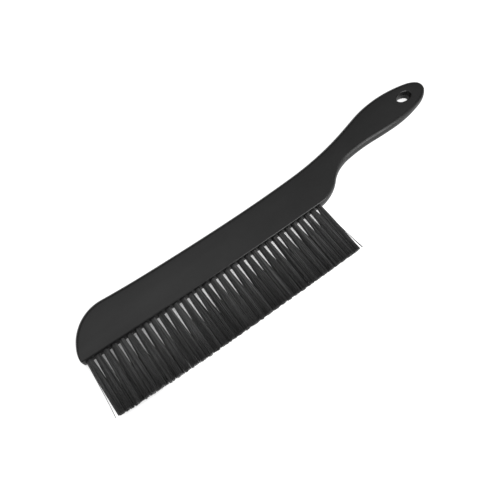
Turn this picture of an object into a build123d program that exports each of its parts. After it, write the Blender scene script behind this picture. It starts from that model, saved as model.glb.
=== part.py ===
from build123d import *
import math
import os

# Bee brush lying flat on its side: +X runs from the nose to the end of the handle, +Y from
# the bristle tips to the back of the block, and +Z is up, through the thickness.
# Places are first given from the nose end (x) and from the lowest point of the bristle
# edge (y). Everything is moved at the end, so that the origin is under the middle of the
# whole brush, on the surface that it lies on. All sizes are in millimetres.

# Block and handle, one moulding
block_thickness = 10.2
edge_round = 2.5

# Bristle edge: one long shallow arc from the nose corner to the heel
bristle_edge_radius = 5200.0
bristle_edge_low_x = 92.0
heel_x = 217.0

# Hang hole: a short oval through the end of the handle
hang_hole_centre = (339.8, 41.0)
hang_hole_length = 15.0
hang_hole_width = 8.5
hang_hole_tilt = 3.0
hang_hole_round = 1.2

# Tufts: one row of round blind holes, each with one folded tuft
tuft_count = 33
tuft_pitch = 6.5
first_tuft_x = 5.15
hole_diameter = 4.6
hole_depth = 9.0
tuft_clearance = 0.05
tuft_tip_width = 6.3
tuft_tip_depth = 8.0
tuft_tip_corner = 2.5
nose_tuft_length = 45.3
middle_tuft_length = 46.7
heel_tuft_length = 47.5

# Anchors: flat wire pieces that each tuft is folded round, biting into the hole's walls
anchor_thickness = 0.4
anchor_height = 1.6
anchor_bite = 0.6
anchor_depth = 6.6
anchor_clearance = 0.05

PARTS_FOLDER = "parts"


def bristle_edge_y(x):
    """Height of the bristle edge above its lowest point, at a place along the brush."""
    reach = x - bristle_edge_low_x
    return bristle_edge_radius - math.sqrt(bristle_edge_radius ** 2 - reach ** 2)


def bristle_edge_direction(x):
    """Direction of the bristle edge at a place along the brush, towards the handle."""
    reach = x - bristle_edge_low_x
    return (math.sqrt(bristle_edge_radius ** 2 - reach ** 2), reach)


def handle_outline():
    """From the heel round the neck, handle, back and nose, as one chain of tangent arcs."""
    neck = [(229.4, 4.4), (238.8, 10.9), (248.1, 17.6), (262.6, 22.2)]
    handle_front = [(294.3, 23.9), (315.2, 23.8), (351.1, 29.8)]
    handle_end = [(361.6, 36.5), (363.7, 41.4), (360.9, 47.7), (352.3, 51.8)]
    handle_back = [(324.2, 55.0), (288.0, 49.7), (270.3, 44.6)]
    block_back = [(210.4, 34.7), (140.5, 32.3), (70.6, 32.7), (33.9, 34.3)]
    nose = [(11.9, 27.3), (4.0, 18.1), (0.5, 8.9), (0.0, bristle_edge_y(0.0))]
    here = (heel_x, bristle_edge_y(heel_x))
    direction = bristle_edge_direction(heel_x)
    arcs = []
    for point in neck + handle_front + handle_end + handle_back + block_back + nose:
        arc = TangentArc(here, point, tangent=direction)
        arcs.append(arc)
        direction = arc % 1
        here = point
    return arcs


def bristle_edge_arc():
    """The shallow arc that the tufts stand on."""
    return ThreePointArc(
        (0.0, bristle_edge_y(0.0)),
        (bristle_edge_low_x, 0.0),
        (heel_x, bristle_edge_y(heel_x)),
    )


def tuft_plane(x):
    """The plane of a tuft's mouth, with its normal pointing into the block."""
    mouth = (x, bristle_edge_y(x), block_thickness / 2)
    return Plane(origin=mouth, x_dir=(1, 0, 0), z_dir=(0, 1, 0))


def round_bar(plane, radius, start, end):
    """A cylinder on a plane's normal, between two distances from the plane."""
    return plane * Pos(0, 0, (start + end) / 2) * Cylinder(radius, end - start)


def anchor_bar(x, clearance):
    """A flat wire piece across the hole, through the thickness, grown by a clearance."""
    width = anchor_thickness + 2 * clearance
    length = hole_diameter + 2 * anchor_bite + 2 * clearance
    height = anchor_height + 2 * clearance
    middle = anchor_depth + anchor_height / 2
    return tuft_plane(x) * Pos(0, 0, middle) * Box(width, length, height)


def tuft_hole(x):
    """The blind hole for one tuft, run out past the bristle edge, with its anchor's notches."""
    run_out = 2.0
    barrel = round_bar(tuft_plane(x), hole_diameter / 2, -run_out, hole_depth)
    return barrel + anchor_bar(x, anchor_clearance)


def hang_hole():
    """The oval cutter for the hang hole, past both faces."""
    run_out = 1.0
    oval = Rot(0, 0, hang_hole_tilt) * Ellipse(hang_hole_length / 2, hang_hole_width / 2)
    start = Pos(hang_hole_centre[0], hang_hole_centre[1], -run_out) * oval
    return extrude(start, block_thickness + 2 * run_out)


def is_rim(edge):
    """True for an edge that lies in one of the two flat faces."""
    box = edge.bounding_box()
    return box.max.Z - box.min.Z < block_thickness / 100


def is_round_hang_hole(edge):
    """True for an edge whose middle is on the axis of the hang hole."""
    middle = edge.bounding_box().center()
    return math.dist((middle.X, middle.Y), hang_hole_centre) < hang_hole_round


def handle_block(stations):
    """The one-piece moulding with rounded edges, its hang hole and its tuft holes."""
    outline = make_face([bristle_edge_arc()] + handle_outline())
    block = extrude(outline, block_thickness)
    block = fillet([edge for edge in block.edges() if is_rim(edge)], edge_round)
    block = block - hang_hole()
    hole_rims = [edge for edge in block.edges() if is_rim(edge) and is_round_hang_hole(edge)]
    block = fillet(hole_rims, hang_hole_round)
    return block - [tuft_hole(x) for x in stations]


def free_length(x, stations):
    """Free length of a tuft, from the shorter ends to the fuller middle of the row."""
    middle_x = (stations[0] + stations[-1]) / 2
    share = (x - middle_x) / (stations[-1] - middle_x)
    end_length = heel_tuft_length if share > 0 else nose_tuft_length
    return middle_tuft_length + (end_length - middle_tuft_length) * share ** 2


def tuft(x, stations):
    """A tuft: a round root in its hole, slotted for its anchor, and a fan down to the tips."""
    mouth = tuft_plane(x)
    radius = hole_diameter / 2 - tuft_clearance
    root = round_bar(mouth, radius, 0.0, hole_depth - tuft_clearance)
    tips = mouth.offset(-free_length(x, stations))
    tip_shape = tips * RectangleRounded(tuft_tip_width, tuft_tip_depth, tuft_tip_corner)
    fan = loft([mouth * Circle(radius), tip_shape])
    return root + fan - anchor_bar(x, anchor_clearance)


def tuft_anchors(stations):
    """All the flat wire anchors, as one group of separate solids."""
    return Compound([anchor_bar(x, 0.0).solid() for x in stations])


def write_parts(parts):
    """Put the origin under the middle of the brush and write one STEP file per sub-part."""
    os.makedirs(PARTS_FOLDER, exist_ok=True)
    boxes = [part.bounding_box() for part in parts.values()]
    middle_x = (min(box.min.X for box in boxes) + max(box.max.X for box in boxes)) / 2
    middle_y = (min(box.min.Y for box in boxes) + max(box.max.Y for box in boxes)) / 2
    to_origin = Pos(-middle_x, -middle_y, 0)
    print("origin is at x", round(middle_x, 3), "y", round(middle_y, 3))
    for name, part in parts.items():
        placed = to_origin * part
        placed.label = name
        export_step(placed, os.path.join(PARTS_FOLDER, name + ".step"))


stations = [first_tuft_x + tuft_pitch * index for index in range(tuft_count)]
parts = {"handle_block": handle_block(stations), "tuft_anchors": tuft_anchors(stations)}
for number, x in enumerate(stations, start=1):
    parts[f"tuft_{number:02d}"] = tuft(x, stations)
write_parts(parts)
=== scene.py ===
import math

import bmesh
import bpy
from bpy.props import FloatProperty, IntProperty, PointerProperty
from bpy.types import Operator, Panel, PropertyGroup
from mathutils import Matrix, Vector


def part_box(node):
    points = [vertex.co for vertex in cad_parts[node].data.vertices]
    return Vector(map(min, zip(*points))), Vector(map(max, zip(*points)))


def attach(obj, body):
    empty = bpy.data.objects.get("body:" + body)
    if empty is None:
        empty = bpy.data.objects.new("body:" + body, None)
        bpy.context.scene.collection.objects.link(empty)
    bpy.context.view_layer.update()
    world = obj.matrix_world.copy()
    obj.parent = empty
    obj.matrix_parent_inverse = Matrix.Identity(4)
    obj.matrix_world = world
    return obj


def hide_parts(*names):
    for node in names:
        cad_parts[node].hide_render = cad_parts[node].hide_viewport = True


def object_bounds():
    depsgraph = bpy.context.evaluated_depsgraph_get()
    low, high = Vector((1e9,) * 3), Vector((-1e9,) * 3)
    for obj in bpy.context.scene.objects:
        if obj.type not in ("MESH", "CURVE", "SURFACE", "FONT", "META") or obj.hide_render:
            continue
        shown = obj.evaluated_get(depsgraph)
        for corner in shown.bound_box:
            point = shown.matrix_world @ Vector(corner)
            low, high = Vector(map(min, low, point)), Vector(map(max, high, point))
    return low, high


bl_info = {
    "name": "Bee Brush",
    "version": (1, 0, 0),
    "blender": (4, 5, 0),
    "location": "3D Viewport > Sidebar > Bee Brush",
    "description": "Builds a bee brush: a moulded block and handle, and one row of bristle tufts",
    "category": "Object",
}

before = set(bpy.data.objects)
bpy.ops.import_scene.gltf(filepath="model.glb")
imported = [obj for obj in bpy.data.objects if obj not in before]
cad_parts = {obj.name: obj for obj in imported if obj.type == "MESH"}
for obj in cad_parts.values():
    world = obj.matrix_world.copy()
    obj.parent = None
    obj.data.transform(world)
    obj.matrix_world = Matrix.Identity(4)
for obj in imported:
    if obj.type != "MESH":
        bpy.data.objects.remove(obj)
cad_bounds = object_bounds()

MM = 0.001
BODY = "root"
BLOCK_NODE = "handle_block"
ANCHOR_NODE = "tuft_anchors"
TUFT_NODES = sorted(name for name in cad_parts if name.startswith("tuft_") and name != ANCHOR_NODE)

# The outline's arcs meet at these points, in millimetres from the nose end and from the
# lowest point of the bristle edge. They run from the heel round to the nose.
NECK = [(229.4, 4.4), (238.8, 10.9), (248.1, 17.6), (262.6, 22.2)]
HANDLE_FRONT = [(294.3, 23.9), (315.2, 23.8), (351.1, 29.8)]
HANDLE_END = [(361.6, 36.5), (363.7, 41.4), (360.9, 47.7), (352.3, 51.8)]
HANDLE_BACK = [(324.2, 55.0), (288.0, 49.7), (270.3, 44.6)]
BLOCK_BACK = [(210.4, 34.7), (140.5, 32.3), (70.6, 32.7), (33.9, 34.3)]
NOSE = [(11.9, 27.3), (4.0, 18.1), (0.5, 8.9)]

# How the filaments of one tuft differ, as shares of the tuft's own sizes. A lane is a group of
# filaments that keep together from the hole to the tips.
STANDING_JITTER = 0.04
LANES_PER_HALF = 2.6
OWN_LENGTH_SHARE = 0.35
LANE_LENGTH_SHARE = 0.65
OWN_LEAN_SHARE = 0.5
LANE_LEAN_SHARE = 0.5
OWN_TONE_SHARE = 0.25
LANE_TONE_SHARE = 0.25
TOUCHING_CURVE = 2.2
CLUMPING_AT_TIPS = 0.25
STRAY_LOOP_END = 0.1
STRAY_REACH_MIDDLE = 0.88
STRAY_REACH_RANGE = 0.12

# Each thing that is random for a filament or a lane has a number of its own.
RANDOM_KEYS = {
    "stand across": 1,
    "stand through": 2,
    "own length": 3,
    "own lean": 4,
    "bow": 5,
    "drift": 6,
    "own tone": 7,
    "lane tone": 8,
    "lane length": 9,
    "lane lean": 10,
    "stray reach": 11,
}

# The seeds of neighbouring tufts are this far apart, so that no two of these numbers meet.
SEEDS_APART = 100


# Sizes and settings

def length_property(name, description, default_mm):
    """A length in metres with its default given in millimetres."""
    return FloatProperty(
        name=name,
        description=description,
        default=default_mm * MM,
        min=0.0,
        precision=5,
        subtype="DISTANCE",
        unit="LENGTH",
    )


class BlockSettings(PropertyGroup):
    """Sizes of the moulded block and handle."""

    bristle_edge_radius: length_property("Bristle edge radius", "Radius of the long bristle edge", 5200.0)
    bristle_edge_low: length_property("Bristle edge low point", "Low point, from the nose end", 92.0)
    heel: length_property("Heel", "Where the bristle edge ends, from the nose end", 217.0)
    edge_round: length_property("Edge round", "Rounding of the handle's and the back's edges", 3.8)
    bristle_edge_round: length_property("Bristle edge round", "Rounding beside the tufts", 1.0)
    round_change: length_property("Rounding change", "Length over which the rounding changes", 14.0)
    nose_corner_round: length_property("Nose corner", "Radius of the corner below the nose", 1.2)
    hang_hole_x: length_property("Hang hole place", "Middle of the hang hole, from the nose end", 339.8)
    hang_hole_y: length_property("Hang hole height", "Middle of the hang hole, above the edge", 41.0)
    hang_hole_length: length_property("Hang hole length", "Length of the oval hang hole", 15.0)
    hang_hole_width: length_property("Hang hole width", "Width of the oval hang hole", 8.5)
    hang_hole_round: length_property("Hang hole round", "Rounding of the hang hole's rims", 1.2)
    hang_hole_tilt: FloatProperty(
        name="Hang hole tilt",
        description="Turn of the oval from the brush's long axis",
        default=math.radians(3.0),
        subtype="ANGLE",
    )
    first_tuft: length_property("First tuft", "Middle of the first tuft, from the nose end", 5.15)
    tuft_hole_diameter: length_property("Tuft hole", "Diameter of each tuft's blind hole", 4.6)
    tuft_hole_depth: length_property("Tuft hole depth", "Depth of each tuft's blind hole", 9.0)
    parting_ridge: length_property("Parting ridge", "Height of the mould's parting ridge", 0.05)
    parting_width: length_property("Parting width", "Width of the mould's parting ridge", 0.35)
    outline_step: length_property("Outline step", "Longest side of the outline", 1.4)


class TuftSettings(PropertyGroup):
    """Sizes of the bristle tufts."""

    filament_diameter: length_property("Filament", "Diameter of one bristle filament", 0.32)
    filament_count: IntProperty(
        name="Filaments",
        description="Number of filament ends in one tuft",
        default=220,
        min=8,
        max=400,
    )
    root_radius: length_property("Root radius", "Radius of the tuft where it leaves its hole", 2.1)
    root_depth: length_property("Root depth", "How far the filaments reach into the hole", 7.0)
    nose_flare: length_property("Nose flare", "How much a tuft near the nose spreads at its mouth", 0.45)
    heel_flare: length_property("Heel flare", "How much a tuft near the heel spreads at its mouth", 0.0)
    flare_length: length_property("Flare length", "Length over which a tuft spreads at its mouth", 4.0)
    touch_overlap: length_property("Touch overlap", "How far neighbouring tufts mingle", 0.3)
    free_side: length_property("Free side", "Half width at the tips on the row's open ends", 2.35)
    tip_half_depth: length_property("Tip depth", "Half of the tuft's depth at the tips", 3.4)
    lean: length_property("Lean", "Most that a filament's tip strays sideways", 0.5)
    bow: length_property("Bow", "Most that a filament bows sideways", 0.3)
    clump_pitch: length_property("Clump", "Width of the clumps that the tips gather in", 1.3)
    nose_gap: length_property("Nose gaps", "Length of the open gaps near the nose", 24.5)
    middle_gap: length_property("Middle gaps", "Length of the open gaps at a third of the row", 26.0)
    heel_gap: length_property("Heel gaps", "Length of the open gaps near the heel", 20.0)
    last_gap: length_property("Last gap", "Length of the open gap before the last tuft", 9.0)
    nose_raggedness: length_property("Nose raggedness", "Unevenness of the tips near the nose", 0.85)
    heel_raggedness: length_property("Heel raggedness", "Unevenness of the tips near the heel", 0.25)
    nose_stray: length_property("Nose stray", "How far the stray filaments at the nose stand off", 2.6)
    heel_stray: length_property("Heel stray", "How far the stray filaments at the heel stand off", 3.0)
    stray_loop: length_property("Stray loop", "How far a stray filament bows out at its root", 1.1)
    stray_count: IntProperty(
        name="Strays",
        description="Number of stray filaments at each open end of the row",
        default=3,
        min=0,
        max=12,
    )
    seed: IntProperty(name="Seed", description="Start of everything random in the tufts", default=11)


class StageSettings(PropertyGroup):
    """Camera, floor and lights."""

    azimuth: FloatProperty(
        name="Azimuth",
        description="Direction that the camera looks in, from the brush's +Y",
        default=math.radians(-36.05),
        subtype="ANGLE",
    )
    elevation: FloatProperty(
        name="Elevation",
        description="Height of the camera above the horizon",
        default=math.radians(66.1),
        subtype="ANGLE",
    )
    distance: length_property("Distance", "From the camera to the point that it looks at", 406.2)
    aim_back: length_property("Aim back", "The aim's place from the middle, towards the nose", 35.23)
    aim_front: length_property("Aim front", "The aim's place from the middle, towards the tips", 1.08)
    lens: FloatProperty(name="Lens", description="Focal length", default=38.0, subtype="DISTANCE_CAMERA")
    floor_size: length_property("Floor", "Side of the floor", 8000.0)


# Node trees

class TreeMaker:
    """Adds nodes to a node tree and links them, for materials and for geometry."""

    def __init__(self, tree):
        self.tree = tree

    def node(self, kind, inputs=(), **settings):
        """A new node with its settings, and values or sockets for its inputs."""
        node = self.tree.nodes.new(kind)
        for name, value in settings.items():
            setattr(node, name, value)
        for key, value in dict(inputs).items():
            self.connect(value, node.inputs[key])
        return node

    def connect(self, value, socket):
        """Link a socket to a socket, or give a socket its own value."""
        if isinstance(value, bpy.types.NodeSocket):
            self.tree.links.new(value, socket)
        else:
            socket.default_value = value

    def math(self, operation, first, second=0.0, third=0.0, clamp=False):
        """The result of one sum."""
        inputs = {0: first, 1: second, 2: third}
        node = self.node("ShaderNodeMath", inputs, operation=operation, use_clamp=clamp)
        return node.outputs[0]

    def add(self, first, second):
        return self.math("ADD", first, second)

    def subtract(self, first, second):
        return self.math("SUBTRACT", first, second)

    def multiply(self, first, second):
        return self.math("MULTIPLY", first, second)

    def divide(self, first, second):
        return self.math("DIVIDE", first, second)

    def blend(self, share, first, second):
        """first where share is 0, and second where it is 1."""
        difference = self.subtract(second, first)
        return self.math("MULTIPLY_ADD", difference, share, first)

    def noise(self, coordinates, scale, detail=2.0, roughness=0.5):
        """The value of a noise pattern on some coordinates."""
        inputs = {"Vector": coordinates, "Scale": scale, "Detail": detail, "Roughness": roughness}
        return self.node("ShaderNodeTexNoise", inputs).outputs[0]

    def ramp(self, value, low, high, start, end):
        """value, stretched from low..high to start..end and held there."""
        inputs = {"Value": value, "From Min": low, "From Max": high, "To Min": start, "To Max": end}
        return self.node("ShaderNodeMapRange", inputs).outputs[0]


def new_material(name):
    """An empty material with its surface shader, and the maker for its tree."""
    material = bpy.data.materials.new(name)
    material.use_nodes = True
    maker = TreeMaker(material.node_tree)
    shader = material.node_tree.nodes["Principled BSDF"]
    return material, maker, shader


def grey(maker, value):
    """A neutral colour of a given brightness."""
    inputs = {"Red": value, "Green": value, "Blue": value}
    return maker.node("ShaderNodeCombineColor", inputs).outputs[0]


def block_plastic():
    """Satin moulded plastic: fine grain, faint flow marks, scuffs, and rims that are rubbed."""
    material, maker, shader = new_material("black_moulded_plastic")
    place = maker.node("ShaderNodeTexCoord").outputs["Object"]
    rim = maker.node("ShaderNodeAttribute", attribute_name="rim").outputs["Fac"]
    clouds = maker.noise(place, 22.0, 3.0, 0.55)
    flow_map = maker.node("ShaderNodeMapping", {"Vector": place, "Scale": (18.0, 160.0, 60.0)})
    flow = maker.noise(flow_map.outputs[0], 1.0, 3.0, 0.6)
    grain = maker.noise(place, 3200.0, 2.0, 0.6)
    pores = maker.noise(place, 900.0, 3.0, 0.65)
    scuff_map = maker.node(
        "ShaderNodeMapping",
        {"Vector": place, "Rotation": (0.0, 0.0, 0.45), "Scale": (55.0, 1500.0, 200.0)},
    )
    scuffs = maker.ramp(maker.noise(scuff_map.outputs[0], 1.0, 4.0, 0.7), 0.66, 0.78, 0.0, 1.0)
    rubbed = maker.multiply(rim, maker.ramp(maker.noise(place, 140.0, 3.0, 0.6), 0.38, 0.66, 0.0, 1.0))

    tone = maker.ramp(clouds, 0.3, 0.7, 0.0060, 0.0115)
    tone = maker.add(tone, maker.ramp(pores, 0.3, 0.7, -0.0012, 0.0012))
    tone = maker.add(tone, maker.multiply(rubbed, 0.003))
    tone = maker.add(tone, maker.multiply(scuffs, 0.008))
    maker.connect(grey(maker, tone), shader.inputs["Base Color"])

    # The upright walls are duller than the faces
    facing = maker.node("ShaderNodeNewGeometry").outputs["Normal"]
    upward = maker.node("ShaderNodeSeparateXYZ", {"Vector": facing}).outputs["Z"]
    shine = maker.ramp(maker.math("ABSOLUTE", upward), 0.15, 0.60, 0.12, 0.50)
    maker.connect(shine, shader.inputs["Specular IOR Level"])

    roughness = maker.ramp(flow, 0.3, 0.7, 0.36, 0.43)
    roughness = maker.add(roughness, maker.multiply(scuffs, 0.10))
    roughness = maker.subtract(roughness, maker.multiply(rubbed, 0.06))
    maker.connect(roughness, shader.inputs["Roughness"])

    shallow = maker.node("ShaderNodeBump", {"Height": flow, "Strength": 0.25, "Distance": 0.00006})
    pitted = {"Height": pores, "Strength": 0.35, "Distance": 0.00003, "Normal": shallow.outputs[0]}
    middle = maker.node("ShaderNodeBump", pitted)
    fine = {"Height": grain, "Strength": 0.45, "Distance": 0.000012, "Normal": middle.outputs[0]}
    maker.connect(maker.node("ShaderNodeBump", fine).outputs[0], shader.inputs["Normal"])
    return material


def filament_plastic():
    """Extruded bristle filament: soft sheen, each filament a little lighter or darker."""
    material, maker, shader = new_material("black_bristle_filament")
    place = maker.node("ShaderNodeTexCoord").outputs["Object"]
    tone = maker.node("ShaderNodeAttribute", attribute_name="tone").outputs["Fac"]
    reach = maker.node("ShaderNodeAttribute", attribute_name="reach").outputs["Fac"]
    draw_map = maker.node("ShaderNodeMapping", {"Vector": place, "Scale": (900.0, 45.0, 900.0)})
    drawn = maker.noise(draw_map.outputs[0], 1.0, 2.0, 0.5)
    shade = maker.ramp(tone, 0.0, 1.0, 0.009, 0.140)
    shade = maker.multiply(shade, maker.ramp(drawn, 0.3, 0.7, 0.8, 1.2))
    shade = maker.multiply(shade, maker.ramp(reach, 0.50, 0.95, 1.0, 0.45))
    maker.connect(grey(maker, shade), shader.inputs["Base Color"])
    maker.connect(maker.ramp(drawn, 0.3, 0.7, 0.34, 0.46), shader.inputs["Roughness"])
    bump = maker.node("ShaderNodeBump", {"Height": drawn, "Strength": 0.3, "Distance": 0.00002})
    maker.connect(bump.outputs[0], shader.inputs["Normal"])
    return material


def anchor_wire():
    """Drawn flat steel wire, with fine lines along it."""
    material, maker, shader = new_material("flat_anchor_wire")
    place = maker.node("ShaderNodeTexCoord").outputs["Object"]
    line_map = maker.node("ShaderNodeMapping", {"Vector": place, "Scale": (4000.0, 4000.0, 150.0)})
    lines = maker.noise(line_map.outputs[0], 1.0, 3.0, 0.6)
    maker.connect(grey(maker, maker.ramp(lines, 0.3, 0.7, 0.50, 0.66)), shader.inputs["Base Color"])
    maker.connect(maker.ramp(lines, 0.3, 0.7, 0.26, 0.42), shader.inputs["Roughness"])
    bump = maker.node("ShaderNodeBump", {"Height": lines, "Strength": 0.3, "Distance": 0.00001})
    maker.connect(bump.outputs[0], shader.inputs["Normal"])
    shader.inputs["Metallic"].default_value = 1.0
    return material


def floor_paint():
    """A floor that glows, with a painted contact shadow where something stands close over it and a
    painted pool of light along the brush.
    """
    material, maker, shader = new_material("floor_with_painted_light")
    place = maker.node("ShaderNodeTexCoord").outputs["Object"]
    clouds = maker.noise(place, 3.0, 2.0, 0.5)
    maker.connect(grey(maker, maker.ramp(clouds, 0.3, 0.7, 0.29, 0.31)), shader.inputs["Base Color"])
    shader.inputs["Roughness"].default_value = 0.9
    shader.inputs["Specular IOR Level"].default_value = 0.1
    shader.inputs["Emission Color"].default_value = (1.0, 1.0, 1.0, 1.0)
    # Painted light: a painted contact shadow dims the glow where something stands close over the floor,
    # and a painted pool of light dims it most towards the nose
    painted_shadow_openness = maker.node("ShaderNodeAmbientOcclusion", {"Distance": 0.015}, samples=8).outputs["AO"]
    along = maker.node("ShaderNodeSeparateXYZ", {"Vector": place}).outputs["X"]
    painted_light_pool = maker.ramp(along, -0.15, -0.02, 1.0, 4.2)
    glow = maker.ramp(maker.multiply(painted_shadow_openness, painted_light_pool), 0.0, 0.7, 0.05, 1.05)
    maker.connect(glow, shader.inputs["Emission Strength"])
    return material


def finish_piece(piece, slot, *nodes):
    """Put a finished piece on its body and hide the nodes that it stands for. The slot is not used."""
    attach(piece, BODY)
    if nodes:
        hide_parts(*nodes)


def new_object(name, data):
    """A new object in the scene, at the origin: a mesh, a light or a camera."""
    made = bpy.data.objects.new(name, data)
    bpy.context.scene.collection.objects.link(made)
    return made


# Block and handle

def block_corner(sizes):
    """The corner that the outline's sizes are measured from, on the surface below the brush."""
    low = Vector(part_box(BLOCK_NODE)[0])
    low.x = tuft_middles()[0][0] - sizes.first_tuft
    return low


def block_thickness():
    """Thickness of the block and handle."""
    low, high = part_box(BLOCK_NODE)
    return high[2] - low[2]


def bristle_edge_height(sizes, x):
    """Height of the bristle edge above its low point, x metres from the nose end."""
    reach = x - sizes.bristle_edge_low
    radius = sizes.bristle_edge_radius
    return radius - math.sqrt(radius ** 2 - reach ** 2)


def arc_points(start, end, direction, step):
    """Points of the arc that leaves start in a direction and meets end, and its last direction."""
    chord = end - start
    normal = Vector((-direction.y, direction.x))
    bend = 2.0 * chord.dot(normal) / chord.length_squared
    turn = -2.0 * direction.angle_signed(chord)
    arc_length = chord.length if abs(turn) < 1e-6 else turn / bend
    count = max(2, math.ceil(arc_length / step))
    points = []
    for index in range(1, count + 1):
        angle = turn * index / count
        along = math.sin(angle) / bend
        across = (1.0 - math.cos(angle)) / bend
        points.append(start + direction * along + normal * across)
    last = Vector(direction)
    last.rotate(Matrix.Rotation(turn, 2))
    return points, last


def outline_points(sizes):
    """The closed outline from the nose corner along the bristle edge and all the way round."""
    step = sizes.outline_step
    corner_round = sizes.nose_corner_round
    first_x = corner_round
    count = math.ceil((sizes.heel - first_x) / step)
    points = []
    for index in range(count + 1):
        x = first_x + (sizes.heel - first_x) * index / count
        points.append(Vector((x, bristle_edge_height(sizes, x))))
    reach = sizes.heel - sizes.bristle_edge_low
    direction = Vector((math.sqrt(sizes.bristle_edge_radius ** 2 - reach ** 2), reach)).normalized()
    corner_y = bristle_edge_height(sizes, 0.0)
    nose_end = (0.0, (corner_y + corner_round) / MM)
    for place in NECK + HANDLE_FRONT + HANDLE_END + HANDLE_BACK + BLOCK_BACK + NOSE + [nose_end]:
        arc, direction = arc_points(points[-1], Vector(place) * MM, direction, step)
        points.extend(arc)
    centre = Vector((corner_round, corner_y + corner_round))
    corner_steps = 6
    for index in range(1, corner_steps):
        angle = math.pi * (1.0 + 0.5 * index / corner_steps)
        points.append(centre + corner_round * Vector((math.cos(angle), math.sin(angle))))
    return points


def inward_normals(points):
    """Unit normals of a closed outline, pointing into it."""
    normals = []
    for index, point in enumerate(points):
        before = (point - points[index - 1]).normalized()
        after = (points[(index + 1) % len(points)] - point).normalized()
        along = (before + after).normalized()
        normals.append(Vector((-along.y, along.x)))
    return normals


def smooth_share(value):
    """0 below 0, 1 above 1, and a smooth change between them."""
    share = min(max(value, 0.0), 1.0)
    return share * share * (3.0 - 2.0 * share)


def rounding_at(sizes, point):
    """Rounding of the rim at a place on the outline: small beside the tufts, full elsewhere."""
    past_heel = (point.x - sizes.heel) / sizes.round_change
    corner_top = bristle_edge_height(sizes, point.x) + sizes.nose_corner_round
    above_corner = (point.y - corner_top) / sizes.round_change
    share = smooth_share(max(past_heel, above_corner))
    return sizes.bristle_edge_round + (sizes.edge_round - sizes.bristle_edge_round) * share


def rim_profile(sizes, thickness):
    """Steps over the wall as (share of rounding inwards, share of rounding up, height, outwards)."""
    steps = 6
    turns = [0.5 * math.pi * index / steps for index in range(steps + 1)]
    lower = [(1.0 - math.sin(turn), 1.0 - math.cos(turn), 0.0, 0.0) for turn in turns]
    middle = 0.5 * thickness
    half_width = 0.5 * sizes.parting_width
    ridge = [
        (0.0, 0.0, middle - half_width, 0.0),
        (0.0, 0.0, middle, sizes.parting_ridge),
        (0.0, 0.0, middle + half_width, 0.0),
    ]
    upper = [(inwards, -up, thickness, 0.0) for inwards, up, _, _ in reversed(lower)]
    return lower + ridge + upper


def wall_rings(builder, points, normals, roundings, profile, rim_layer):
    """Rings of vertices over a wall, one for each step of the profile, joined by faces."""
    rings = []
    for inwards, up, height, outwards in profile:
        ring = []
        for point, normal, rounding in zip(points, normals, roundings):
            place = point + normal * (inwards * rounding - outwards)
            vertex = builder.verts.new((place.x, place.y, height + up * rounding))
            vertex[rim_layer] = 1.0 if 0.0 < abs(up) < 1.0 else 0.0
            ring.append(vertex)
        rings.append(ring)
    for lower, upper in zip(rings, rings[1:]):
        for index in range(len(lower)):
            following = (index + 1) % len(lower)
            builder.faces.new((lower[index], lower[following], upper[following], upper[index]))
    return rings


def hang_hole_ring(sizes):
    """Points round the hang hole and their normals, pointing away from the hole's axis."""
    count = 64
    turn = Matrix.Rotation(sizes.hang_hole_tilt, 2)
    middle = Vector((sizes.hang_hole_x, sizes.hang_hole_y))
    half_length = 0.5 * sizes.hang_hole_length
    half_width = 0.5 * sizes.hang_hole_width
    points = []
    normals = []
    for index in range(count):
        angle = -2.0 * math.pi * index / count
        point = Vector((half_length * math.cos(angle), half_width * math.sin(angle)))
        normal = Vector((half_width * math.cos(angle), half_length * math.sin(angle))).normalized()
        points.append(middle + turn @ point)
        normals.append(turn @ normal)
    return points, normals


def close_face(builder, outer, inner, normal):
    """Fill the flat face between two rings of vertices."""
    edges = []
    for ring in (outer, inner):
        for index, vertex in enumerate(ring):
            edges.append(builder.edges.get((ring[index - 1], vertex)))
    bmesh.ops.triangle_fill(builder, use_beauty=True, edges=edges, normal=normal)


def tuft_middles():
    """The middle of each tuft along the brush and through its thickness, nose to heel."""
    middles = []
    for name in TUFT_NODES:
        low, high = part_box(name)
        middles.append(((low[0] + high[0]) / 2, (low[2] + high[2]) / 2))
    return middles


def tuft_hole_cutter(sizes):
    """One mesh of round bars, one for each tuft hole, that reach out past the bristle edge."""
    corner = block_corner(sizes)
    run_out = 2.0 * MM
    builder = bmesh.new()
    for x, z in tuft_middles():
        mouth_y = corner.y + bristle_edge_height(sizes, x - corner.x)
        length = sizes.tuft_hole_depth + run_out
        turn = Matrix.Rotation(0.5 * math.pi, 4, "X")
        middle = Matrix.Translation((x, mouth_y + 0.5 * (sizes.tuft_hole_depth - run_out), z))
        bmesh.ops.create_cone(
            builder,
            cap_ends=True,
            segments=28,
            radius1=0.5 * sizes.tuft_hole_diameter,
            radius2=0.5 * sizes.tuft_hole_diameter,
            depth=length,
            matrix=middle @ turn,
        )
    mesh = bpy.data.meshes.new("tuft_hole_cutter")
    builder.to_mesh(mesh)
    builder.free()
    return new_object("tuft_hole_cutter", mesh)


def cut_tuft_holes(block, sizes):
    """Cut the blind tuft holes into the block's mesh."""
    cutter = tuft_hole_cutter(sizes)
    modifier = block.modifiers.new("Tuft holes", "BOOLEAN")
    modifier.operation = "DIFFERENCE"
    modifier.solver = "EXACT"
    modifier.object = cutter
    evaluated = block.evaluated_get(bpy.context.evaluated_depsgraph_get())
    cut_mesh = bpy.data.meshes.new_from_object(evaluated)
    block.modifiers.clear()
    block.data = cut_mesh
    bpy.data.objects.remove(cutter)


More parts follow.
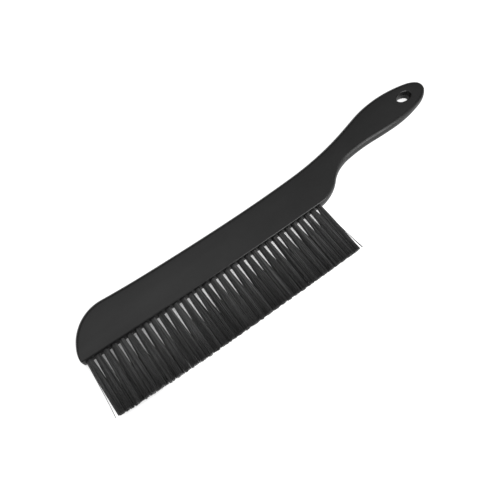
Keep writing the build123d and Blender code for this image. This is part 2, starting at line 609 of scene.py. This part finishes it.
class BEEBRUSH_OT_handle_block(Operator):
    """Build the one-piece moulded block and handle"""

    bl_idname = "bee_brush.handle_block"
    bl_label = "Build block and handle"

    def execute(self, context):
        sizes = context.scene.bee_brush_block
        thickness = block_thickness()
        points = outline_points(sizes)
        normals = inward_normals(points)
        roundings = [rounding_at(sizes, point) for point in points]
        profile = rim_profile(sizes, thickness)
        builder = bmesh.new()
        rim_layer = builder.verts.layers.float.new("rim")
        outer = wall_rings(builder, points, normals, roundings, profile, rim_layer)
        hole_points, hole_normals = hang_hole_ring(sizes)
        hole_roundings = [sizes.hang_hole_round] * len(hole_points)
        inner = wall_rings(builder, hole_points, hole_normals, hole_roundings, profile, rim_layer)
        close_face(builder, outer[0], inner[0], (0.0, 0.0, -1.0))
        close_face(builder, outer[-1], inner[-1], (0.0, 0.0, 1.0))
        bmesh.ops.translate(builder, verts=builder.verts, vec=block_corner(sizes))
        bmesh.ops.recalc_face_normals(builder, faces=builder.faces)
        mesh = bpy.data.meshes.new("moulded_block")
        builder.to_mesh(mesh)
        builder.free()
        block = new_object("moulded_block", mesh)
        cut_tuft_holes(block, sizes)
        block.data.materials.clear()
        block.data.materials.append(block_plastic())
        block.data.shade_smooth()
        block.data.set_sharp_from_angle(angle=math.radians(32.0))
        finish_piece(block, "block_plastic", BLOCK_NODE)
        return {"FINISHED"}


# Bristle tufts

TUFT_INPUTS = {
    "Mouth": "NodeSocketVector",
    "Root Radius": "NodeSocketFloat",
    "Root Depth": "NodeSocketFloat",
    "Free Length": "NodeSocketFloat",
    "Filament Radius": "NodeSocketFloat",
    "Filament Count": "NodeSocketInt",
    "Nose Gap": "NodeSocketFloat",
    "Heel Gap": "NodeSocketFloat",
    "Flare": "NodeSocketFloat",
    "Flare Length": "NodeSocketFloat",
    "Nose Half Width": "NodeSocketFloat",
    "Heel Half Width": "NodeSocketFloat",
    "Tip Half Depth": "NodeSocketFloat",
    "Lean": "NodeSocketFloat",
    "Bow": "NodeSocketFloat",
    "Clump Pitch": "NodeSocketFloat",
    "Raggedness": "NodeSocketFloat",
    "Stray Count": "NodeSocketInt",
    "Stray Side": "NodeSocketFloat",
    "Stray Reach": "NodeSocketFloat",
    "Stray Loop": "NodeSocketFloat",
    "Seed": "NodeSocketInt",
    "Material": "NodeSocketMaterial",
}


def geometry_tree(name, inputs):
    """A new geometry tree with named inputs, one geometry output and its maker."""
    tree = bpy.data.node_groups.new(name, "GeometryNodeTree")
    tree.interface.new_socket("Geometry", in_out="OUTPUT", socket_type="NodeSocketGeometry")
    for label, kind in inputs.items():
        tree.interface.new_socket(label, in_out="INPUT", socket_type=kind)
    return tree, TreeMaker(tree)


def random_share(maker, seed, number, name):
    """A random number from -1 to 1 for each filament or lane, different for each name."""
    lowest, highest = 2, 3
    inputs = {lowest: -1.0, highest: 1.0, "ID": number, "Seed": maker.add(seed, RANDOM_KEYS[name])}
    return maker.node("FunctionNodeRandomValue", inputs, data_type="FLOAT").outputs[1]


def standing_places(maker, given, number):
    """Where each filament stands in the round hole, as shares of its radius: a sunflower pattern."""
    seed = given["Seed"]
    golden_turn = math.pi * (3.0 - math.sqrt(5.0))
    turn = maker.multiply(number, golden_turn)
    ring = maker.math("SQRT", maker.divide(maker.add(number, 0.5), given["Filament Count"]))
    across = maker.multiply(ring, maker.math("COSINE", turn))
    through = maker.multiply(ring, maker.math("SINE", turn))
    across_jitter = maker.multiply(random_share(maker, seed, number, "stand across"), STANDING_JITTER)
    through_jitter = maker.multiply(random_share(maker, seed, number, "stand through"), STANDING_JITTER)
    return maker.add(across, across_jitter), maker.add(through, through_jitter)


def distance_down(maker, given, number, lane, share):
    """How far each point of a filament is below the mouth of the hole, negative inside it."""
    seed = given["Seed"]
    own_length = maker.multiply(random_share(maker, seed, number, "own length"), OWN_LENGTH_SHARE)
    lane_length = maker.multiply(random_share(maker, seed, lane, "lane length"), LANE_LENGTH_SHARE)
    uneven = maker.subtract(maker.add(own_length, lane_length), 1.0)
    length = maker.add(given["Free Length"], maker.multiply(uneven, given["Raggedness"]))
    whole = maker.add(given["Root Depth"], length)
    return maker.subtract(maker.multiply(share, whole), given["Root Depth"])


def fanned_across(maker, given, across, outside):
    """Sideways places: a little spread at the mouth, then wider until the tuft meets the next."""
    heel_side = maker.math("GREATER_THAN", across, 0.0)
    gap = maker.blend(heel_side, given["Nose Gap"], given["Heel Gap"])
    wide = maker.blend(heel_side, given["Nose Half Width"], given["Heel Half Width"])
    spreading = maker.math("DIVIDE", outside, given["Flare Length"], clamp=True)
    mouth_width = maker.add(given["Root Radius"], maker.multiply(spreading, given["Flare"]))
    touching = maker.math("POWER", maker.math("DIVIDE", outside, gap, clamp=True), TOUCHING_CURVE)
    return maker.multiply(across, maker.blend(touching, mouth_width, wide))


def bent_across(maker, given, x, number, lane, reach):
    """Sideways places after each filament's lean and bow, gathered in clumps at the tips."""
    seed = given["Seed"]
    squared_reach = maker.multiply(reach, reach)
    own_lean = maker.multiply(random_share(maker, seed, number, "own lean"), OWN_LEAN_SHARE)
    lane_lean = maker.multiply(random_share(maker, seed, lane, "lane lean"), LANE_LEAN_SHARE)
    lean = maker.multiply(maker.add(own_lean, lane_lean), given["Lean"])
    x = maker.add(x, maker.multiply(lean, squared_reach))
    bow = maker.multiply(random_share(maker, seed, number, "bow"), given["Bow"])
    x = maker.add(x, maker.multiply(bow, maker.math("SINE", maker.multiply(reach, math.pi))))
    clump = maker.math("ROUND", maker.divide(x, given["Clump Pitch"]))
    gathered = maker.multiply(clump, given["Clump Pitch"])
    return maker.blend(maker.multiply(squared_reach, CLUMPING_AT_TIPS), x, gathered)


def stray_shift(maker, given, number, reach):
    """Sideways shift of a stray filament: a small loop at the root, and off to one side below."""
    loop_share = maker.math("DIVIDE", reach, STRAY_LOOP_END, clamp=True)
    loop = maker.multiply(given["Stray Loop"], maker.math("SINE", maker.multiply(loop_share, math.pi)))
    varied = random_share(maker, given["Seed"], number, "stray reach")
    own_reach = maker.math("MULTIPLY_ADD", varied, STRAY_REACH_RANGE, STRAY_REACH_MIDDLE)
    full_reach = maker.multiply(given["Stray Reach"], own_reach)
    off = maker.multiply(full_reach, maker.math("POWER", reach, 2.0))
    return maker.multiply(maker.add(loop, off), given["Stray Side"])


def fanned_through(maker, given, through, number, reach):
    """Places through the thickness: the tuft widens evenly to the tips."""
    half_depth = maker.blend(reach, given["Root Radius"], given["Tip Half Depth"])
    drift = maker.multiply(random_share(maker, given["Seed"], number, "drift"), given["Lean"])
    return maker.add(maker.multiply(through, half_depth), maker.multiply(drift, reach))


def filament_tone(maker, given, number, lane):
    """Each filament's own tone from 0 to 1, partly shared by the filaments of one lane."""
    own = maker.multiply(random_share(maker, given["Seed"], number, "own tone"), OWN_TONE_SHARE)
    shared = maker.multiply(random_share(maker, given["Seed"], lane, "lane tone"), LANE_TONE_SHARE)
    return maker.add(maker.add(own, shared), 0.5)


def tuft_tree():
    """Geometry nodes for one tuft: filaments packed in a round hole that fan out to the tips."""
    tree, maker = geometry_tree("Bristle tuft", TUFT_INPUTS)
    given = maker.node("NodeGroupInput").outputs

    line = maker.node("GeometryNodeCurvePrimitiveLine", {"End": (0.0, -1.0, 0.0)})
    joints = maker.node("GeometryNodeResampleCurve", {"Curve": line.outputs[0], "Count": 8})
    copies = maker.node(
        "GeometryNodeDuplicateElements",
        {"Geometry": joints.outputs[0], "Amount": given["Filament Count"]},
        domain="SPLINE",
    )
    number = copies.outputs["Duplicate Index"]
    share = maker.node("GeometryNodeSplineParameter").outputs["Factor"]

    across, through = standing_places(maker, given, number)
    is_stray = maker.math("LESS_THAN", number, given["Stray Count"])
    across = maker.blend(is_stray, across, given["Stray Side"])
    lane = maker.math("FLOOR", maker.multiply(across, LANES_PER_HALF))

    down = distance_down(maker, given, number, lane, share)
    outside = maker.math("MAXIMUM", down, 0.0)
    reach = maker.divide(outside, given["Free Length"])

    x = fanned_across(maker, given, across, outside)
    x = bent_across(maker, given, x, number, lane, reach)
    x = maker.add(x, maker.multiply(is_stray, stray_shift(maker, given, number, reach)))
    z = fanned_through(maker, given, through, number, reach)
    offset = maker.node("ShaderNodeCombineXYZ", {"X": x, "Y": maker.multiply(down, -1.0), "Z": z})
    from_mouth = {0: given["Mouth"], 1: offset.outputs[0]}
    place = maker.node("ShaderNodeVectorMath", from_mouth, operation="ADD")
    placed = maker.node(
        "GeometryNodeSetPosition", {"Geometry": copies.outputs[0], "Position": place.outputs[0]}
    )

    tone = filament_tone(maker, given, number, lane)
    toned = stored_value(maker, placed.outputs[0], "tone", tone)
    marked = stored_value(maker, toned, "reach", reach)
    tube = maker.node(
        "GeometryNodeCurvePrimitiveCircle", {"Resolution": 5, "Radius": given["Filament Radius"]}
    )
    solid = maker.node(
        "GeometryNodeCurveToMesh",
        {"Curve": marked, "Profile Curve": tube.outputs[0], "Fill Caps": True},
    )
    smooth = maker.node("GeometryNodeSetShadeSmooth", {"Geometry": solid.outputs[0]})
    finish_tree(maker, smooth.outputs[0], given["Material"])
    return tree


def stored_value(maker, geometry, name, value):
    """The geometry with a number stored on each of its points under a name."""
    node = maker.node("GeometryNodeStoreNamedAttribute", {"Geometry": geometry}, data_type="FLOAT")
    node.domain = "POINT"
    maker.connect(name, node.inputs["Name"])
    maker.connect(value, node.inputs["Value"])
    return node.outputs[0]


def finish_tree(maker, geometry, material):
    """Close a geometry tree: real meshes, with their material."""
    real = maker.node("GeometryNodeRealizeInstances", {"Geometry": geometry})
    painted = maker.node("GeometryNodeSetMaterial", {"Geometry": real.outputs[0], "Material": material})
    maker.node("NodeGroupOutput", {"Geometry": painted.outputs[0]})


def mesh_from_tree(name, tree, values):
    """A plain mesh object that a geometry tree makes with these values for its inputs."""
    source = new_object(name + "_source", bpy.data.meshes.new(name + "_source"))
    modifier = source.modifiers.new("Shape", "NODES")
    modifier.node_group = tree
    for item in tree.interface.items_tree:
        if item.in_out == "INPUT":
            modifier[item.identifier] = values[item.name]
    evaluated = source.evaluated_get(bpy.context.evaluated_depsgraph_get())
    mesh = bpy.data.meshes.new_from_object(evaluated)
    mesh.name = name
    bpy.data.objects.remove(source)
    if not mesh.polygons:
        raise RuntimeError(f"the tree for {name} made no faces")
    return new_object(name, mesh)


def row_share(index):
    """How far along the row a tuft stands: 0 at the nose and 1 at the heel."""
    return index / (len(TUFT_NODES) - 1)


def gap_length(tufts, index):
    """How long the open gap after a tuft stays open, before the two tufts touch."""
    if index == len(TUFT_NODES) - 2:
        return tufts.last_gap
    share = row_share(index)
    longest_share = 0.33
    if share < longest_share:
        rise = smooth_share(share / longest_share)
        even = tufts.nose_gap + (tufts.middle_gap - tufts.nose_gap) * rise
    else:
        fall = smooth_share((share - longest_share) / (1.0 - longest_share))
        even = tufts.middle_gap + (tufts.heel_gap - tufts.middle_gap) * fall
    slow_wave = math.sin(index * 2.7)
    quick_wave = 0.6 * math.sin(index * 5.3 + 1.0)
    unevenness = 0.16
    return even * (1.0 + unevenness * (slow_wave + quick_wave))


def tuft_values(tufts, sizes, index, material):
    """Values for the tuft tree's inputs for one tuft of the row."""
    low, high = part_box(TUFT_NODES[index])
    middle_x = (low[0] + high[0]) / 2
    middle_z = (low[2] + high[2]) / 2
    corner = block_corner(sizes)
    mouth_y = corner.y + bristle_edge_height(sizes, middle_x - corner.x)
    middles = tuft_middles()
    pitch = (middles[-1][0] - middles[0][0]) / (len(middles) - 1)
    touching = 0.5 * pitch + tufts.touch_overlap
    first = index == 0
    last = index == len(TUFT_NODES) - 1
    share = row_share(index)
    evening = math.sqrt(share)
    raggedness = tufts.nose_raggedness + (tufts.heel_raggedness - tufts.nose_raggedness) * evening
    return {
        "Mouth": (middle_x, mouth_y, middle_z),
        "Root Radius": tufts.root_radius,
        "Root Depth": tufts.root_depth,
        "Free Length": mouth_y - low[1],
        "Filament Radius": 0.5 * tufts.filament_diameter,
        "Filament Count": tufts.filament_count,
        "Nose Gap": mouth_y - low[1] if first else gap_length(tufts, index - 1),
        "Heel Gap": mouth_y - low[1] if last else gap_length(tufts, index),
        "Flare": tufts.nose_flare + (tufts.heel_flare - tufts.nose_flare) * share,
        "Flare Length": tufts.flare_length,
        "Nose Half Width": tufts.free_side if first else touching,
        "Heel Half Width": tufts.free_side if last else touching,
        "Tip Half Depth": tufts.tip_half_depth,
        "Lean": tufts.lean,
        "Bow": tufts.bow,
        "Clump Pitch": tufts.clump_pitch,
        "Raggedness": raggedness,
        "Stray Count": tufts.stray_count if first or last else 0,
        "Stray Side": 1.0 if last else -1.0,
        "Stray Reach": tufts.heel_stray if last else tufts.nose_stray,
        "Stray Loop": tufts.stray_loop if first else 0.0,
        "Seed": tufts.seed + SEEDS_APART * index,
        "Material": material,
    }


class BEEBRUSH_OT_bristle_tufts(Operator):
    """Build the row of bristle tufts, each filament by filament"""

    bl_idname = "bee_brush.bristle_tufts"
    bl_label = "Build bristle tufts"

    def execute(self, context):
        tufts = context.scene.bee_brush_tufts
        sizes = context.scene.bee_brush_block
        material = filament_plastic()
        tree = tuft_tree()
        for index, node in enumerate(TUFT_NODES):
            values = tuft_values(tufts, sizes, index, material)
            piece = mesh_from_tree("bristle_" + node, tree, values)
            finish_piece(piece, "bristle_plastic", node)
        return {"FINISHED"}


class BEEBRUSH_OT_anchor_wires(Operator):
    """Give the hidden flat wire anchors their finish"""

    bl_idname = "bee_brush.anchor_wires"
    bl_label = "Finish anchor wires"

    def execute(self, context):
        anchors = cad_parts[ANCHOR_NODE]
        anchors.data.materials.clear()
        anchors.data.materials.append(anchor_wire())
        return {"FINISHED"}


# Stage

def soft_light(name, place, aim, width, depth, radiance):
    """A rectangular soft light that shines from a place towards an aim."""
    light = bpy.data.lights.new(name, "AREA")
    light.shape = "RECTANGLE"
    light.size = width
    light.size_y = depth
    light.energy = radiance * math.pi * width * depth
    made = new_object(name, light)
    made.location = place
    made.rotation_euler = (Vector(aim) - Vector(place)).to_track_quat("-Z", "Y").to_euler()
    return made


def floor_mesh(side):
    """A square floor just under the brush, in a few flat faces."""
    clearance = 0.1 * MM
    builder = bmesh.new()
    bmesh.ops.create_grid(builder, x_segments=4, y_segments=4, size=0.5 * side)
    bmesh.ops.translate(builder, verts=builder.verts, vec=(0.0, 0.0, -clearance))
    mesh = bpy.data.meshes.new("floor_with_painted_light")
    builder.to_mesh(mesh)
    builder.free()
    return mesh


def add_camera(stage, middle):
    """The scene's camera, placed round the point that it looks at."""
    aim = middle - Vector((stage.aim_back, stage.aim_front, 0.0))
    level = math.cos(stage.elevation)
    towards = Vector((
        math.sin(stage.azimuth) * level,
        -math.cos(stage.azimuth) * level,
        math.sin(stage.elevation),
    ))
    camera_data = bpy.data.cameras.new("camera")
    camera_data.lens = stage.lens
    camera_data.clip_start = 0.01
    camera = new_object("camera", camera_data)
    camera.location = aim + towards * stage.distance
    camera.rotation_euler = (-towards).to_track_quat("-Z", "Y").to_euler()
    bpy.context.scene.camera = camera


def add_floor(side):
    """The floor, with its material."""
    floor = new_object("floor", floor_mesh(side))
    floor.data.materials.append(floor_paint())


def add_world():
    """Dim even light from everywhere."""
    world = bpy.data.worlds.new("studio")
    world.use_nodes = True
    sky = world.node_tree.nodes["Background"]
    sky.inputs["Color"].default_value = (1.0, 1.0, 1.0, 1.0)
    sky.inputs["Strength"].default_value = 0.10
    bpy.context.scene.world = world


def add_soft_lights():
    """Two dim softboxes high up behind the brush, and a bright one low down in front of it."""
    soft_light(
        "overhead_softbox",
        place=(0.20, 0.50, 1.33),
        aim=(0.20, 0.50, 0.0),
        width=3.6,
        depth=1.1,
        radiance=0.44,
    )
    soft_light(
        "nose_softbox",
        place=(-0.60, 0.50, 1.30),
        aim=(-0.60, 0.50, 0.0),
        width=1.9,
        depth=1.1,
        radiance=0.60,
    )
    soft_light(
        "side_softbox",
        place=(0.22, -0.36, 0.26),
        aim=(0.05, 0.0, 0.0),
        width=0.36,
        depth=0.40,
        radiance=5.2,
    )


class BEEBRUSH_OT_stage(Operator):
    """Set up the camera, the floor and the soft lights"""

    bl_idname = "bee_brush.stage"
    bl_label = "Set up stage"

    def execute(self, context):
        stage = context.scene.bee_brush_stage
        low, high = cad_bounds
        add_camera(stage, (Vector(low) + Vector(high)) / 2)
        add_floor(stage.floor_size)
        add_world()
        add_soft_lights()
        context.scene.view_settings.view_transform = "Standard"
        return {"FINISHED"}


# Panel, registration and the run as a script

class VIEW3D_PT_bee_brush(Panel):
    """Builds the bee brush piece by piece"""

    bl_label = "Bee Brush"
    bl_idname = "VIEW3D_PT_bee_brush"
    bl_space_type = "VIEW_3D"
    bl_region_type = "UI"
    bl_category = "Bee Brush"

    def draw(self, context):
        for operator in OPERATORS:
            self.layout.operator(operator.bl_idname)
        for settings in (
            context.scene.bee_brush_block,
            context.scene.bee_brush_tufts,
            context.scene.bee_brush_stage,
        ):
            column = self.layout.column(align=True)
            for name in settings.__annotations__:
                column.prop(settings, name)


OPERATORS = (
    BEEBRUSH_OT_handle_block,
    BEEBRUSH_OT_bristle_tufts,
    BEEBRUSH_OT_anchor_wires,
    BEEBRUSH_OT_stage,
)
CLASSES = (BlockSettings, TuftSettings, StageSettings) + OPERATORS + (VIEW3D_PT_bee_brush,)


def register():
    for item in CLASSES:
        bpy.utils.register_class(item)
    bpy.types.Scene.bee_brush_block = PointerProperty(type=BlockSettings)
    bpy.types.Scene.bee_brush_tufts = PointerProperty(type=TuftSettings)
    bpy.types.Scene.bee_brush_stage = PointerProperty(type=StageSettings)


def unregister():
    del bpy.types.Scene.bee_brush_stage
    del bpy.types.Scene.bee_brush_tufts
    del bpy.types.Scene.bee_brush_block
    for item in reversed(CLASSES):
        bpy.utils.unregister_class(item)


def main():
    register()
    bpy.ops.bee_brush.stage()
    bpy.ops.bee_brush.handle_block()
    bpy.ops.bee_brush.bristle_tufts()
    bpy.ops.bee_brush.anchor_wires()


if __name__ == "__main__":
    main()
